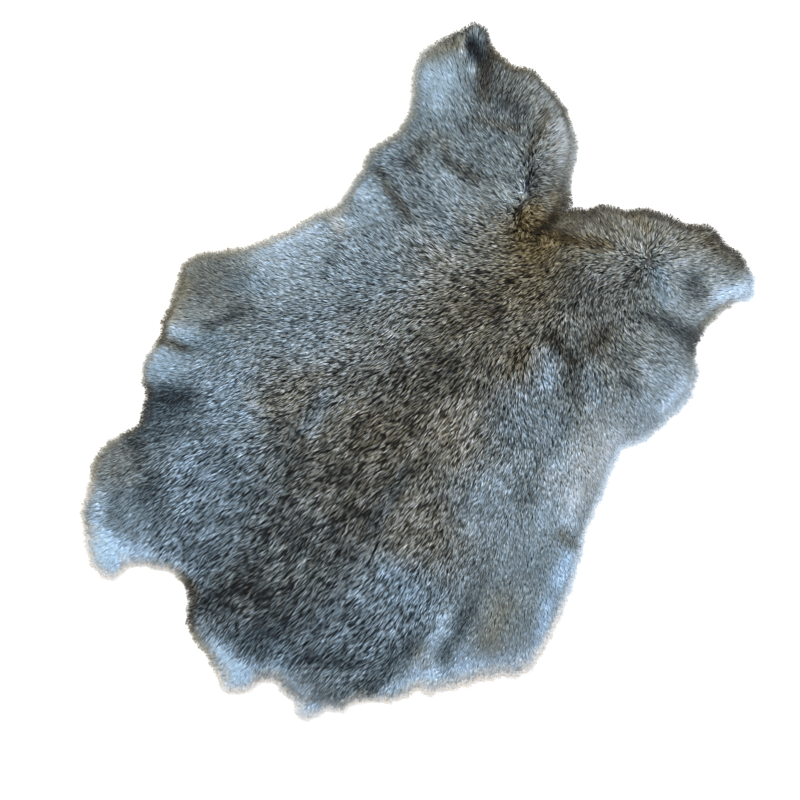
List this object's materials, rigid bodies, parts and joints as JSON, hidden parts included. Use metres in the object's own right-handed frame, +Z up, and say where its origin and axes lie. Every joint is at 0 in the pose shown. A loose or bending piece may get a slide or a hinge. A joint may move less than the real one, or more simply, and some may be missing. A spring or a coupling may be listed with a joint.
{
  "type": "rabbit skin pelt",
  "caption": "Tanned rabbit skin with its fur on, lying flat with the fur up: leg lobes, a notch at the neck, soft creases and a ragged rim of short locks.",
  "frame": {"origin": "on the surface the pelt lies on, under the middle of its box", "axes": "+Y along the back toward the neck, +X to the right as seen from above, +Z up through the fur"},
  "size_m": [0.303, 0.409, 0.0175],
  "materials": {
    "fur": "dense agouti grey fur, warm grey-brown over the back and pale blue-grey toward the rim",
    "skin": "tanned cream skin, fine suede on the underside"
  },
  "bodies": {
    "root": {"pelt": "fur"}
  },
  "joints": []
}
